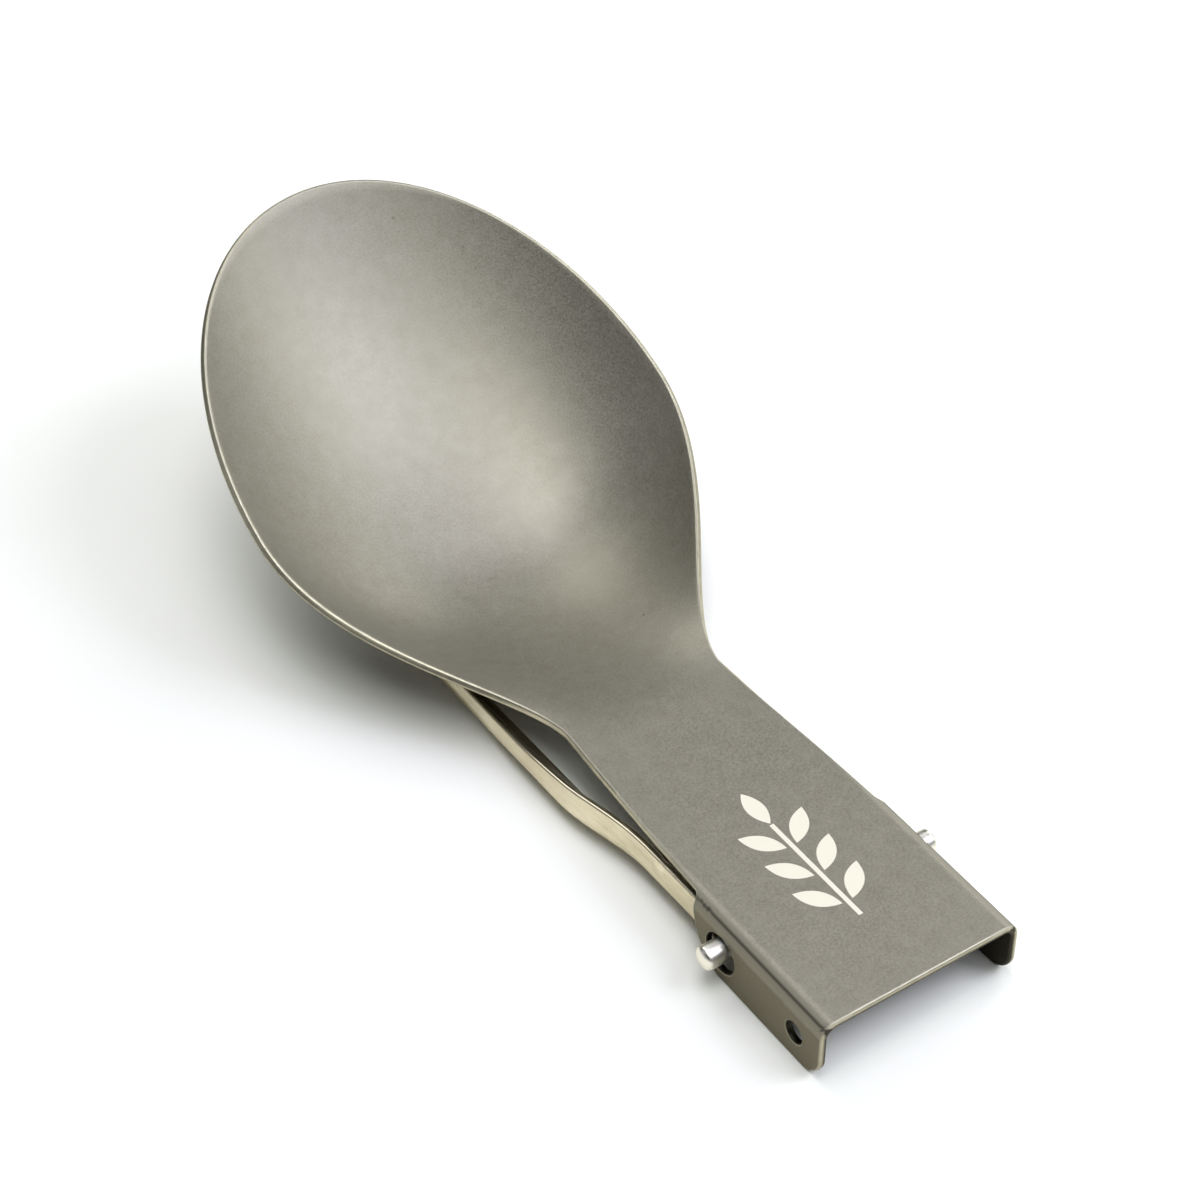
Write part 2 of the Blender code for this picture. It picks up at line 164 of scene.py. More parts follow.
def block_loop(index: np.ndarray, rows: tuple[int, int], columns: tuple[int, int]) -> np.ndarray:
    """Lists the point numbers round a block of a grid, in the turning sense of its quads.

    Args:
        index: The grid of point numbers.
        rows: First and last row of the block.
        columns: First and last column of the block.

    Returns:
        The numbers along the first column, the last row, the last column and the first row.
    """
    top, bottom = rows
    left, right = columns
    return np.concatenate([
        index[top:bottom, left],
        index[bottom, left:right],
        index[bottom:top:-1, right],
        index[top, right:left:-1],
    ])


def unit(vectors: np.ndarray) -> np.ndarray:
    """Scales each vector to length one: v / |v|, where |v| counts as SHORTEST at least."""
    return vectors / np.maximum(np.linalg.norm(vectors, axis=-1, keepdims=True), SHORTEST)


def surface_normals(points: np.ndarray, quads: np.ndarray) -> np.ndarray:
    """Sums each quad's normal, (c - a) x (d - b), at its corners and scales the sums to length one.

    Args:
        points: Places in space.
        quads: Numbers of each quad's corners a, b, c, d.

    Returns:
        One normal for each point.
    """
    corner = points[quads]
    face = unit(np.cross(corner[:, 2] - corner[:, 0], corner[:, 3] - corner[:, 1]))
    total = np.zeros_like(points)
    for place in range(4):
        np.add.at(total, quads[:, place], face)
    return unit(total)


@dataclass(frozen=True)
class SheetMetal:
    """Sheet of one thickness with rounded edges."""

    thickness: float = 0.0007
    edge_radius: float = 0.00022
    edge_steps: int = 4
    corner_limit: float = 0.5

    def edge_profile(self) -> tuple[np.ndarray, np.ndarray]:
        """Runs from the upper face to the lower one: out = r sin(t), up = h - r + r cos(t), then mirrored.

        Returns:
            How far out and how far up each step of the edge lies from the middle surface.
        """
        turn = quarter_turn(self.edge_steps + 1)
        out = self.edge_radius * np.sin(turn)
        up = self.thickness / 2 - self.edge_radius * (1.0 - np.cos(turn))
        return np.concatenate([out, out[::-1]]), np.concatenate([up, -up[::-1]])

    def solid(self, middle: np.ndarray, quads: np.ndarray) -> tuple[np.ndarray, np.ndarray, np.ndarray]:
        """Puts the thickness round a middle surface: P + n * up + o * out, with o square to the free edge.

        Args:
            middle: Places on the middle surface.
            quads: Its quads.

        Returns:
            The solid's points, its quads, and for each point how near it is to the middle of an edge.
        """
        normal = surface_normals(middle, quads)
        count = len(middle)
        start = quads.ravel()
        end = np.roll(quads, -1, axis=1).ravel()
        there = start.astype(np.int64) * count + end
        back = end.astype(np.int64) * count + start
        free = ~np.isin(there, back)
        start, end = start[free], end[free]
        out = np.cross(unit(middle[end] - middle[start]), normal[start])
        before = np.zeros_like(middle)
        after = np.zeros_like(middle)
        after[start] = unit(out)
        before[end] = unit(out)
        cosine = (before * after).sum(axis=1, keepdims=True)
        outward = (before + after) / np.maximum(1.0 + cosine, self.corner_limit)
        outs, ups = self.edge_profile()
        edge = np.unique(start)
        rows = middle[edge] + normal[edge] * ups[1:-1, None, None] + outward[edge] * outs[1:-1, None, None]
        half = self.thickness / 2
        points = np.concatenate([middle + normal * half, middle - normal * half, rows.reshape(-1, 3)])
        place = np.zeros(count, dtype=int)
        place[edge] = np.arange(len(edge))
        inner = [2 * count + row * len(edge) + place for row in range(len(outs) - 2)]
        levels = [np.arange(count), *inner, np.arange(count) + count]
        strips = [
            np.stack([high[start], low[start], low[end], high[end]], axis=1)
            for high, low in zip(levels[:-1], levels[1:])
        ]
        faces = np.concatenate([quads, quads[:, ::-1] + count, *strips])
        wear = np.zeros(len(points))
        wear[2 * count:] = np.repeat(outs[1:-1] / self.edge_radius, len(edge))
        return points, faces, wear


def add_object(name: str, data: bpy.types.ID) -> bpy.types.Object:
    """Makes an object at the origin and puts it in the scene.

    Args:
        name: The object's name.
        data: Its mesh, light or camera.

    Returns:
        The object.
    """
    made = bpy.data.objects.new(name, data)
    bpy.context.scene.collection.objects.link(made)
    return made


def place_mesh(name: str, points: np.ndarray, faces: list, shares: dict) -> bpy.types.Object:
    """Makes a smooth-shaded object at the origin from points and faces.

    Args:
        name: The object's name.
        points: Places in the part's frame.
        faces: Numbers of each face's corners.
        shares: Numbers from 0 to 1 for each point, by the name of the attribute that keeps them.

    Returns:
        The object.
    """
    mesh = bpy.data.meshes.new(name)
    mesh.from_pydata(points.tolist(), [], faces)
    mesh.shade_smooth()
    for label, values in shares.items():
        mesh.attributes.new(label, "FLOAT", "POINT").data.foreach_set("value", values.astype(np.float32))
    return add_object(name, mesh)


class Graph:
    """Adds nodes to a node tree and joins their sockets."""

    def __init__(self, tree: bpy.types.NodeTree) -> None:
        """Takes the node tree of a material or of the world, and empties it."""
        self.tree = tree
        tree.nodes.clear()

    def add(self, kind: str, inputs: dict | None = None, **settings: object) -> bpy.types.Node:
        """Adds a node.

        Args:
            kind: The node's type, without ShaderNode in front.
            inputs: Values or output sockets for its inputs, by name or number.
            settings: Values of the node's own properties.

        Returns:
            The node.
        """
        node = self.tree.nodes.new(f"ShaderNode{kind}")
        for name, value in settings.items():
            setattr(node, name, value)
        for key, value in (inputs or {}).items():
            if isinstance(value, Socket):
                self.tree.links.new(value, node.inputs[key])
            else:
                node.inputs[key].default_value = value
        return node

    def math(self, operation: str, *values: object) -> Socket:
        """Adds a Math node that works on numbers or sockets, in order."""
        return self.add("Math", dict(enumerate(values)), operation=operation).outputs[0]

    def ramp(self, value: Socket, ends: Pair, results: Pair = (0.0, 1.0)) -> Socket:
        """Adds a clamped Map Range node, which turns the numbers at the two ends into the results."""
        names = ("From Min", "From Max", "To Min", "To Max")
        return self.add("MapRange", {"Value": value, **dict(zip(names, ends + results))}).outputs[0]

    def blend(self, factor: object, first: object, second: object) -> Socket:
        """Adds a colour Mix node, from the first colour or socket at 0 to the second at 1."""
        return self.add("Mix", {0: factor, 6: first, 7: second}, data_type="RGBA").outputs[2]

    def noise(self, place: Socket, scale: float, detail: float) -> Socket:
        """Adds a Noise Texture node, with the scale in waves per metre and the detail in octaves."""
        return self.add("TexNoise", {"Vector": place, "Scale": scale, "Detail": detail}).outputs["Fac"]

    def share(self, name: str) -> Socket:
        """Reads a point attribute of the mesh by its name."""
        return self.add("Attribute", attribute_name=name).outputs["Fac"]

    def vector(self, operation: str, *values: object) -> Socket:
        """Adds a Vector Math node that works on vectors or sockets, in order. LENGTH gives a number."""
        result = "Value" if operation == "LENGTH" else "Vector"
        return self.add("VectorMath", dict(enumerate(values)), operation=operation).outputs[result]

    def stretch(self, place: Socket, scale: Triple) -> Socket:
        """Scales a place along each axis."""
        return self.add("Mapping", {"Vector": place, "Scale": scale}).outputs[0]

    def shade(self, inputs: dict, height: Socket, bump: Pair) -> None:
        """Ends a material with a Principled shader over fine bumps.

        Args:
            inputs: The shader's colour, roughness and metallic share.
            height: The bumps' height, from 0 to 1.
            bump: The bumps' strength, and their height in metres.
        """
        strength, distance = bump
        normal = self.add("Bump", {"Strength": strength, "Distance": distance, "Height": height}).outputs[0]
        shader = self.add("BsdfPrincipled", {**inputs, "Normal": normal})
        self.add("OutputMaterial", {0: shader.outputs[0]})


def start_finish(name: str) -> tuple[bpy.types.Material, Graph, Socket]:
    """Starts a material with no nodes but its coordinates.

    Args:
        name: The material's name.

    Returns:
        The material, its nodes, and the place in the part's frame.
    """
    made = bpy.data.materials.new(name)
    made.use_nodes = True
    graph = Graph(made.node_tree)
    return made, graph, graph.add("TexCoord").outputs["Object"]


@dataclass(frozen=True)
class EtchedSprig:
    """A plain sprig etched pale into the shank: leaves in pairs along a stem, and one at its tip."""

    stem_start: float = -0.0391
    stem_end: float = -0.0271
    stem_half_width: float = 0.00022
    leaf_half_length: float = 0.0021
    leaf_half_width: float = 0.00085
    leaf_angle: float = math.radians(42.0)
    leaf_offset: float = 0.0019
    pair_starts: tuple[float, ...] = (-0.0358, -0.0321, -0.0284)
    tip_leaf: float = -0.0249
    floor_height: float = 0.0061
    sharpness: Pair = (0.94, 0.9)

    def mask(self, graph: Graph, place: Socket) -> Socket:
        """Is 1 on the sprig: a leaf is |v| < 1 - u^2, u along it and v across it, and the stem a box.

        Args:
            graph: The material's nodes.
            place: Object coordinates.

        Returns:
            The mask.
        """
        parts = graph.add("SeparateXYZ", {0: place}).outputs
        across = graph.math("ABSOLUTE", parts[0])
        half = graph.add("CombineXYZ", {0: across, 1: parts[1], 2: 0.0}).outputs[0]
        size = (self.leaf_half_width, self.leaf_half_length, 1.0)
        leaves = [(0.0, self.tip_leaf, 0.0)]
        leaves += [(self.leaf_offset, start, self.leaf_angle) for start in self.pair_starts]
        total = None
        for x, y, angle in leaves:
            inputs = {"Vector": half, "Location": (x, y, 0.0), "Rotation": (0.0, 0.0, -angle), "Scale": size}
            local = graph.add("Mapping", inputs, vector_type="TEXTURE").outputs[0]
            across_leaf, along_leaf, _ = graph.add("SeparateXYZ", {0: local}).outputs
            bow = graph.math("MULTIPLY", along_leaf, along_leaf)
            reach = graph.math("ADD", bow, graph.math("ABSOLUTE", across_leaf))
            total = reach if total is None else graph.math("MINIMUM", total, reach)
        leaf_inside, stem_inside = self.sharpness
        leaf = graph.ramp(total, (leaf_inside, 1.0), (1.0, 0.0))
        stem_edge = self.stem_half_width
        stem_side = graph.ramp(across, (stem_edge * stem_inside, stem_edge), (1.0, 0.0))
        stem_low = graph.math("GREATER_THAN", parts[1], self.stem_start)
        stem_high = graph.math("LESS_THAN", parts[1], self.stem_end)
        stem = graph.math("MULTIPLY", stem_side, graph.math("MULTIPLY", stem_low, stem_high))
        top = graph.math("GREATER_THAN", parts[2], self.floor_height)
        return graph.math("MULTIPLY", graph.math("MAXIMUM", leaf, stem), top)


@dataclass(frozen=True)
class BlastedTitanium:
    """Bead-blasted titanium: matt grey with a fine grain, a few specks, and edges rubbed paler.

    Faces that are upright or turned down carry a painted shade, the channel's inside and the holes' walls a
    near-black painted shade, and bends are dull.
    How upright a face is comes from facing, which is 1 on level faces and 0 on upright ones.
    """

    dark: Colour = (0.260, 0.250, 0.213, 1.0)
    light: Colour = (0.342, 0.331, 0.297, 1.0)
    rubbed: Colour = (0.56, 0.54, 0.44, 1.0)
    etched: Colour = (0.76, 0.74, 0.66, 1.0)
    # painted shade: a darker, warmer colour for faces that are upright or turned down
    painted_side_shade: Colour = (0.155, 0.142, 0.105, 1.0)
    # painted shade: near black, for the channel's inside and the holes' walls
    recess_shade: Colour = (0.040, 0.037, 0.030, 1.0)
    bend: Colour = (0.25, 0.24, 0.195, 1.0)
    speck: Colour = (0.09, 0.085, 0.07, 1.0)
    grain_scale: float = 5200.0
    grain_detail: float = 2.0
    grain_share: float = 0.75
    cloud_scale: float = 700.0
    cloud_detail: float = 3.0
    tone_range: Pair = (0.33, 0.67)
    side_shade_facing: Pair = (0.05, 0.3)
    side_shade_share: float = 0.8
    bend_starts: Pair = (0.1, 0.4)
    bend_ends: Pair = (0.8, 0.99)
    dull_share: float = 0.85
    speck_scale: float = 420.0
    speck_chance: float = 0.07
    speck_radius: Pair = (0.03, 0.09)
    speck_strength: float = 0.5
    rubbing: Pair = (0.55, 0.9)
    roughness: Pair = (0.46, 0.58)
    rubbed_smoother: float = 0.14
    etched_depth: float = 0.6
    bump: Pair = (0.35, 0.00002)

    def material(self, sprig: EtchedSprig) -> bpy.types.Material:
        """Builds the finish.

        Args:
            sprig: The etched motif.

        Returns:
            The material.
        """
        made, graph, place = start_finish("bead_blasted_titanium")
        grain = graph.noise(place, self.grain_scale, self.grain_detail)
        cloud = graph.noise(place, self.cloud_scale, self.cloud_detail)
        metal = self.blasted(graph, grain, cloud)
        facing = graph.add("SeparateXYZ", {0: graph.add("TexCoord").outputs["Normal"]}).outputs[2]
        # painted shade on upright and downward faces, by how level each face is
        metal = graph.blend(graph.ramp(facing, self.side_shade_facing, (self.side_shade_share, 0.0)), metal, self.painted_side_shade)
        dull = self.dulled(graph, facing)
        metal = graph.blend(dull, metal, self.bend)
        metal = graph.blend(self.specks(graph, place), metal, self.speck)
        rubbing = graph.ramp(cloud, NOISE_RANGE, self.rubbing)
        rubbing = graph.math("MULTIPLY", graph.share("edge"), rubbing)
        metal = graph.blend(rubbing, metal, self.rubbed)
        # painted shade in the channel's inside and the holes' walls, from a point attribute
        metal = graph.blend(graph.share("recess_shade"), metal, self.recess_shade)
        mark = sprig.mask(graph, place)
        metal = graph.blend(mark, metal, self.etched)
        rough = graph.ramp(grain, NOISE_RANGE, self.roughness)
        rough = graph.math("SUBTRACT", rough, graph.math("MULTIPLY", rubbing, self.rubbed_smoother))
        unmetallic = graph.math("MULTIPLY", graph.math("MAXIMUM", mark, dull), self.dull_share)
        metallic = graph.math("SUBTRACT", 1.0, unmetallic)
        height = graph.math("SUBTRACT", grain, graph.math("MULTIPLY", mark, self.etched_depth))
        graph.shade({"Base Color": metal, "Metallic": metallic, "Roughness": rough}, height, self.bump)
        return made

    def blasted(self, graph: Graph, grain: Socket, cloud: Socket) -> Socket:
        """Mixes the grey of the blasted face: g * grain + (1 - g) * cloud picks between dark and light.

        Args:
            graph: The material's nodes.
            grain: The fine noise.
            cloud: The coarser noise.

        Returns:
            The colour.
        """
        grain = graph.math("MULTIPLY", grain, self.grain_share)
        cloud = graph.math("MULTIPLY", cloud, 1.0 - self.grain_share)
        tone = graph.ramp(graph.math("ADD", grain, cloud), self.tone_range)
        return graph.blend(tone, self.dark, self.light)

    def dulled(self, graph: Graph, facing: Socket) -> Socket:
        """Finds the turned part of the bends between the plate and its flanges.

        Args:
            graph: The material's nodes.
            facing: How level each face is.

        Returns:
            Its share, from 0 to 1.
        """
        past_upright = graph.ramp(facing, self.bend_starts)
        short_of_level = graph.ramp(facing, self.bend_ends, (1.0, 0.0))
        turned = graph.math("MULTIPLY", past_upright, short_of_level)
        return graph.math("MULTIPLY", turned, graph.share("bend"))

    def specks(self, graph: Graph, place: Socket) -> Socket:
        """Scatters small dark specks, in a few cells of a Voronoi pattern.

        Args:
            graph: The material's nodes.
            place: Object coordinates.

        Returns:
            Their share, from 0 to 1.
        """
        cells = graph.add("TexVoronoi", {"Vector": place, "Scale": self.speck_scale}).outputs
        chance = graph.add("SeparateColor", {0: cells["Color"]}).outputs[0]
        chosen = graph.math("GREATER_THAN", chance, 1.0 - self.speck_chance)
        spot = graph.ramp(cells["Distance"], self.speck_radius, (self.speck_strength, 0.0))
        return graph.math("MULTIPLY", chosen, spot)


@dataclass(frozen=True)
class PolishedTitanium:
    """Tumbled and polished titanium: warm and bright, with faint lengthwise marks, and painted shade round
    the pin.
    """

    dark: Colour = (0.62, 0.57, 0.45, 1.0)
    light: Colour = (0.88, 0.83, 0.70, 1.0)
    mark_scale: Triple = (2600.0, 160.0, 2600.0)
    mark_share: float = 0.5
    cloud_scale: float = 260.0
    detail: float = 3.0
    tone_range: Pair = (0.32, 0.68)
    # painted shade: near black, in the gap round the pin
    pin_gap_shade: Colour = (0.035, 0.033, 0.030, 1.0)
    pin_gap_shade_radius: Pair = (0.0019, 0.0026)
    roughness: Pair = (0.26, 0.4)
    bump: Pair = (0.12, 0.00001)

    def material(self, axis: np.ndarray) -> bpy.types.Material:
        """Builds the finish.

        Args:
            axis: A place on the pin's axis.

        Returns:
            The material.
        """
        made, graph, place = start_finish("tumbled_titanium")
        marks = graph.noise(graph.stretch(place, self.mark_scale), 1.0, self.detail)
        cloud = graph.noise(place, self.cloud_scale, self.detail)
        marked = graph.math("MULTIPLY", marks, self.mark_share)
        tone = graph.math("ADD", marked, graph.math("MULTIPLY", cloud, 1.0 - self.mark_share))
        metal = graph.blend(graph.ramp(tone, self.tone_range), self.dark, self.light)
        # painted shade darkens the metal near the pin's axis, where the ears sit against the flanges
        apart = graph.vector("SUBTRACT", place, tuple(axis))
        across = graph.vector("MULTIPLY", apart, (0.0, 1.0, 1.0))
        gap_shade = graph.ramp(graph.vector("LENGTH", across), self.pin_gap_shade_radius, (1.0, 0.0))
        metal = graph.blend(gap_shade, metal, self.pin_gap_shade)
        rough = graph.ramp(marks, NOISE_RANGE, self.roughness)
        graph.shade({"Base Color": metal, "Metallic": 1.0, "Roughness": rough}, marks, self.bump)
        return made


@dataclass(frozen=True)
class PolishedSteel:
    """Bright steel rod, polished round its axis, with faint turning rings."""

    dark: Colour = (0.88, 0.88, 0.86, 1.0)
    light: Colour = (0.97, 0.97, 0.95, 1.0)
    ring_scale: Triple = (5200.0, 300.0, 300.0)
    ring_detail: float = 2.0
    roughness: Pair = (0.30, 0.42)
    bump: Pair = (0.15, 0.000005)

    def material(self) -> bpy.types.Material:
        """Builds the finish.

        Returns:
            The material.
        """
        made, graph, place = start_finish("bright_steel")
        rings = graph.noise(graph.stretch(place, self.ring_scale), 1.0, self.ring_detail)
        metal = graph.blend(rings, self.dark, self.light)
        rough = graph.ramp(rings, NOISE_RANGE, self.roughness)
        graph.shade({"Base Color": metal, "Metallic": 1.0, "Roughness": rough}, rings, self.bump)
        return made


def pin_middle() -> np.ndarray:
    """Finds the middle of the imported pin, which lies on the middle line."""
    low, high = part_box("pivot_pin")
    return np.array([0.0, (low[1] + high[1]) / 2, (low[2] + high[2]) / 2])


@dataclass(frozen=True)
class BowlAndShank:
    """The bowl and its channel shank, pressed from one sheet, with lengths from the shank's square end.

    An opening's three numbers are its place along the length, its drop below the plate and its radius.
    """

    sheet: SheetMetal = SheetMetal()
    bend_radius: float = 0.0015
    shank_half_width: float = 0.010
    flange_depth: float = 0.0063
    flange_straight: float = 0.0129
    flange_front_run: float = 0.0043
    flange_corner: float = 0.0023
    flange_fillet: float = 0.0007
    neck: float = 0.0380
    neck_half_width: float = 0.0081
    bend_fade_run: float = 0.0130
    bowl_half_width: float = 0.0212
    bowl_widest: float = 0.0662
    bowl_tip: float = 0.0932
    bowl_depth: float = 0.0108
    hollow_start: float = 0.0350
    rise_start: float = 0.0335
    rise_run: float = 0.0300
    rise_slope: float = 0.482
    outline_power: float = 0.87
    section_power: float = 2.4
    pin_opening: Triple = (0.0132, 0.0034, 0.00185)
    snap_hole: Triple = (0.00335, 0.0035, 0.0010)
    end_margin: float = 0.00001
    lip_run: float = 0.0004
    flat_steps: int = 26
    bend_steps: int = 10
    flange_steps: int = 14
    lip_steps: int = 2
    ring_steps: int = 4
    corner_rows: int = 9
    straight_rows: int = 29
    front_rows: int = 19
    fillet_rows: int = 9
    neck_rows: int = 40
    bowl_rows: int = 64
    tip_rows: int = 47
    curve_samples: int = 200
    length_samples: int = 900
    hole_margin: float = 2.2
    hole_bend_columns: int = 3
    hole_wall: float = 0.6

    @property
    def flat_half_width(self) -> float:
        """Half the flat top: the half width less the bend."""
        return self.shank_half_width - self.bend_radius

    @property
    def bend_length(self) -> float:
        """The bend's quarter turn, r pi / 2."""
        return self.bend_radius * math.pi / 2

    @property
    def plate_edge(self) -> float:
        """Half the flat blank's width where there is no flange."""
        return self.flat_half_width + self.bend_length - self.bend_radius

    @property
    def flange_front(self) -> float:
        """Where the flange ends in front."""
        return self.flange_straight + self.flange_front_run

    def flange_drop(self, along: np.ndarray) -> np.ndarray:
        """How far the flange reaches down: (depth - corner) sqrt(1 - f^2), then r - sqrt(r^2 - x^2).

        Args:
            along: Places along the length.

        Returns:
            The drop below the plate's edge there, on the flat blank.
        """
        from_end = np.clip(self.flange_corner - along, 0.0, self.flange_corner)
        corner = self.flange_corner - np.sqrt(self.flange_corner**2 - from_end**2)
        front = np.clip((along - self.flange_straight) / self.flange_front_run, 0.0, 1.0)
        to_plate = np.clip(self.flange_front + self.flange_fillet - along, 0.0, self.flange_fillet)
        fillet = self.flange_fillet - np.sqrt(self.flange_fillet**2 - to_plate**2)
        return np.maximum((self.flange_depth - corner) * np.sqrt(1.0 - front * front), fillet)

    def untipped_half_width(self, along: np.ndarray) -> np.ndarray:
        """Half the width from above, before the tip narrows it: plate, neck, then a smooth swell."""
        to_neck = between(along, self.flange_front, self.neck)
        plate = self.plate_edge + (self.neck_half_width - self.plate_edge) * to_neck
        to_widest = between(along, self.neck, self.bowl_widest)
        swell = smoothstep(to_widest**self.outline_power)
        return plate + (self.bowl_half_width - self.neck_half_width) * swell

    def stations(self) -> np.ndarray:
        """Where the grid's rows lie up to the bowl's widest place, closer where the edge curves."""
        inset = self.sheet.edge_radius
        corner = self.flange_corner - inset - self.end_margin
        fillet = self.flange_fillet + inset
        fillet_turn = quarter_turn(self.fillet_rows)[1:]
        return np.concatenate([
            self.flange_corner - corner * np.cos(quarter_turn(self.corner_rows)),
            np.linspace(self.flange_corner, self.flange_straight, self.straight_rows)[1:-1],
            self.flange_straight + (self.flange_front_run - inset) * np.sin(quarter_turn(self.front_rows)),
            self.flange_front - inset + fillet * (1.0 - np.cos(fillet_turn)),
            np.linspace(self.flange_front - inset + fillet, self.neck, self.neck_rows)[1:-1],
            np.linspace(self.neck, self.bowl_widest, self.bowl_rows),
        ])

    def rim_slope(self, along: np.ndarray) -> np.ndarray:
        """How steeply the pressed wall meets the rim from the side: depth * power / half width."""
        to_widest = smoothstep(between(along, self.hollow_start, self.bowl_widest))
        return self.bowl_depth * to_widest * self.section_power / self.untipped_half_width(along)

    def inset_half_width(self, along: np.ndarray) -> np.ndarray:
        """Half the blank's width with its outline moved inwards by the edge's radius, square to itself.

        Where the wall is steep, the same radius is less in plan: r / sqrt(1 + slope^2).

        Args:
            along: Places along the length.

        Returns:
            The half widths there.
        """
        turn = quarter_turn(self.curve_samples)
        dense = np.concatenate([
            self.flange_corner * (1.0 - np.cos(turn)),
            np.linspace(self.flange_corner, self.flange_straight, self.curve_samples)[1:-1],
            self.flange_straight + self.flange_front_run * np.sin(turn),
            self.flange_front + self.flange_fillet * (1.0 - np.cos(turn[1:])),
            np.linspace(self.flange_front + self.flange_fillet, self.bowl_widest, self.length_samples)[1:],
        ])
        width = self.untipped_half_width(dense) + self.flange_drop(dense)
        tangent = unit(np.stack([np.gradient(dense), np.gradient(width)], axis=1))
        tangent[-1] = (1.0, 0.0)
        inset = self.sheet.edge_radius / np.hypot(1.0, self.rim_slope(dense))
        moved_along = dense + inset * tangent[:, 1]
        moved_width = width - inset * tangent[:, 0]
        order = np.argsort(moved_along, kind="stable")
        return np.interp(along, moved_along[order], moved_width[order])

    def columns(self, along: np.ndarray) -> np.ndarray:
        """Distances from the middle line: flat top, bend, flange and lip, evened out at the neck.

        Args:
            along: The rows' places.

        Returns:
            One row of distances for each place, from the middle line to the edge.
        """
        half = self.inset_half_width(along)
        beyond = self.bend_steps + self.flange_steps + self.lip_steps
        even = smoothstep(between(along, self.flange_front, self.neck))
        room = half - self.flat_half_width
        bend_run = np.minimum(self.bend_length, room * self.bend_steps / beyond)
        lip_run = np.minimum(self.lip_run, room * self.lip_steps / beyond)
        flat = np.full_like(along, self.flat_half_width)
        breaks = [np.zeros_like(along), flat, flat + bend_run, half - lip_run, half]
        counts = np.array([0, self.flat_steps, self.bend_steps, self.flange_steps, self.lip_steps])
        shares = np.cumsum(counts) / counts.sum()
        breaks = [place * (1.0 - even) + half * share * even for place, share in zip(breaks, shares)]
        parts = [
            low[:, None] + (high - low)[:, None] * np.linspace(0.0, 1.0, count + 1)[None, 1:]
            for low, high, count in zip(breaks[:-1], breaks[1:], counts[1:])
        ]
        return np.concatenate([np.zeros((len(along), 1)), *parts], axis=1)

    def fold(self, blank: np.ndarray) -> np.ndarray:
        """Folds and presses the blank: across and drop follow the bend's arc, height is rim less the hollow.

        Args:
            blank: Places along the length and signed distances from the middle line.

        Returns:
            Places on the sheet's upper face, from the shank's square end.
        """
        along, signed = blank.T
        places = np.abs(signed)
        turn = np.clip((places - self.flat_half_width) / self.bend_radius, 0.0, math.pi / 2)
        below = np.clip(places - self.flat_half_width - self.bend_length, 0.0, None)
        folded = np.minimum(places, self.flat_half_width) + self.bend_radius * np.sin(turn)
        drop = self.bend_radius * (1.0 - np.cos(turn)) + below
        bent = 1.0 - smoothstep((along - self.flange_front) / self.bend_fade_run)
        across = folded * bent + places * (1.0 - bent)
        run = np.clip(along - self.rise_start, 0.0, self.rise_run)
        past = np.clip(along - self.rise_start - self.rise_run, 0.0, None)
        rim = self.rise_slope * (run * run / (2.0 * self.rise_run) + past)
        to_widest = smoothstep(between(along, self.hollow_start, self.bowl_widest))
        to_tip = between(along, self.bowl_widest, self.bowl_tip)
        radius = np.minimum(np.hypot(to_tip, across / self.untipped_half_width(along)), 1.0)
        hollow = self.bowl_depth * to_widest * (1.0 - radius**self.section_power)
        return np.stack([np.sign(signed) * across, along, rim - drop * bent - hollow], axis=1)

    def blank(self) -> Blank:
        """Lays out the grid, with rows across the shank and bowl, and a half disc for the tip.

        Beyond the widest place a row t and a column s lie at x = W s sqrt(1 - t^2 / 2),
        y = L t sqrt(1 - s^2 / 2), which fills half an ellipse.

        Returns:
            The blank, with its four holes.
        """
        rows = self.stations()
        right = self.columns(rows)
        signed = np.concatenate([-right[:, :0:-1], right], axis=1)
        body = np.stack([np.broadcast_to(rows[:, None], signed.shape), signed], axis=-1)
        share = signed[-1] / signed[-1, -1]
        tip_row = np.linspace(0.0, 1.0, self.tip_rows)[1:, None]
        inset = self.sheet.edge_radius
        length = self.bowl_tip - self.bowl_widest
        tip_slope = self.rise_slope + self.bowl_depth * self.section_power / length
        width = signed[-1, -1]
        length -= inset / math.hypot(1.0, tip_slope)
        tip_x = width * share * np.sqrt(1.0 - tip_row**2 / 2.0)
        tip_y = self.bowl_widest + length * tip_row * np.sqrt(1.0 - share**2 / 2.0)
        made = Blank(2)
        index = made.add_points(np.concatenate([body, np.stack([tip_y, tip_x], axis=-1)]))
        kept = np.ones((index.shape[0] - 1, index.shape[1] - 1), dtype=bool)
        last = index.shape[1] - 1
        middle = last // 2
        first_column = middle + self.flat_steps + self.bend_steps - self.hole_bend_columns
        end_column = last - self.lip_steps
        for side in Side:
            for along, drop, radius in (self.pin_opening, self.snap_hole):
                reach = radius + self.hole_margin * inset
                top = int(np.searchsorted(rows, along - reach)) - 1
                bottom = int(np.searchsorted(rows, along + reach))
                columns = (first_column, end_column)
                if side is Side.LEFT:
                    columns = (last - end_column, last - first_column)
                kept[top:bottom, columns[0]:columns[1]] = False
                loop = block_loop(index, (top, bottom), columns)
                centre = self.flat_half_width + self.bend_length + drop - self.bend_radius
                centre_point = np.array([along, side.value * centre])
                ray = unit(made.points[loop] - centre_point)
                made.add_rings(loop, centre_point + ray * (radius + inset), self.ring_steps)
        made.add_grid(index, kept)
        return made

